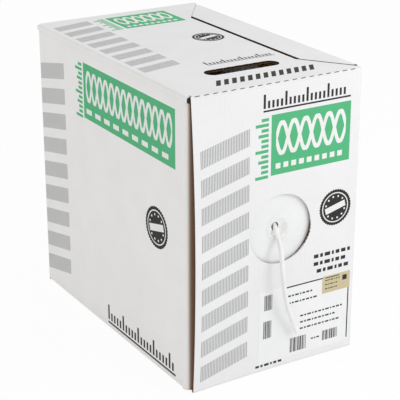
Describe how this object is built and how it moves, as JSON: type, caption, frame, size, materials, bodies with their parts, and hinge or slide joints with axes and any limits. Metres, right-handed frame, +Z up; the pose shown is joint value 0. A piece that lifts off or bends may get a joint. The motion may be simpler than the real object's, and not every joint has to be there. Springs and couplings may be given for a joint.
{
  "type": "cable spool box",
  "caption": "White corrugated carton with a horizontal spool of network cable inside, a hand hole on top and a round cable outlet in front.",
  "frame": {"origin": "centre of the base, on the surface that the carton stands on", "axes": "+Z up, -Y out of the front with the cable outlet, +X to the right of someone facing the front"},
  "size_m": [0.254, 0.4245, 0.381],
  "materials": {
    "white_board": "matte white liner",
    "kraft_board": "matte kraft",
    "paper_tube": "matte wound paper",
    "plywood": "bare sanded",
    "white_plastic": "moulded",
    "zinc_steel": "zinc plated",
    "white_jacket": "extruded",
    "label_paper": "smooth",
    "tan_paper": "smooth"
  },
  "bodies": {
    "carton": {"left_side_panel": "white_board", "right_side_panel": "white_board", "bottom_panel": "white_board", "front_panel": "white_board", "front_inner_flap": "white_board", "front_right_flap": "white_board", "back_panel": "white_board", "back_left_flap": "white_board", "back_right_flap": "white_board", "payout_bushing": "white_plastic", "bushing_lock_ring": "white_plastic", "shipping_label": "label_paper", "tan_sticker": "tan_paper", "left_axle_board": "kraft_board", "right_axle_board": "kraft_board", "axle_tube": "paper_tube", "cable_lead": "white_jacket", "cable_tail": "white_jacket"},
    "lid": {"top_panel": "white_board"},
    "flap": {"right_top_flap": "white_board"},
    "spool": {"left_hub_bush": "white_plastic", "right_hub_bush": "white_plastic", "left_flange": "plywood", "right_flange": "plywood", "spool_core": "paper_tube", "tie_bolt_1": "zinc_steel", "tie_bolt_2": "zinc_steel", "tie_bolt_3": "zinc_steel", "tie_bolt_4": "zinc_steel", "tie_nut_1": "zinc_steel", "tie_nut_2": "zinc_steel", "tie_nut_3": "zinc_steel", "tie_nut_4": "zinc_steel", "cable_pack": "white_jacket", "cable_winding": "white_jacket"}
  },
  "joints": [
    {"name": "lid_fold", "type": "hinge", "parent": "carton", "child": "lid", "pos_m": [-0.127, 0, 0.381], "axis": [0, -1, 0], "range_deg": [0, 180]},
    {"name": "flap_fold", "type": "hinge", "parent": "carton", "child": "flap", "pos_m": [0.127, 0, 0.381], "axis": [0, 1, 0], "range_deg": [0, 180]},
    {"name": "spool_spin", "type": "hinge", "parent": "carton", "child": "spool", "pos_m": [0, 0, 0.19065], "axis": [1, 0, 0], "continuous": true}
  ]
}
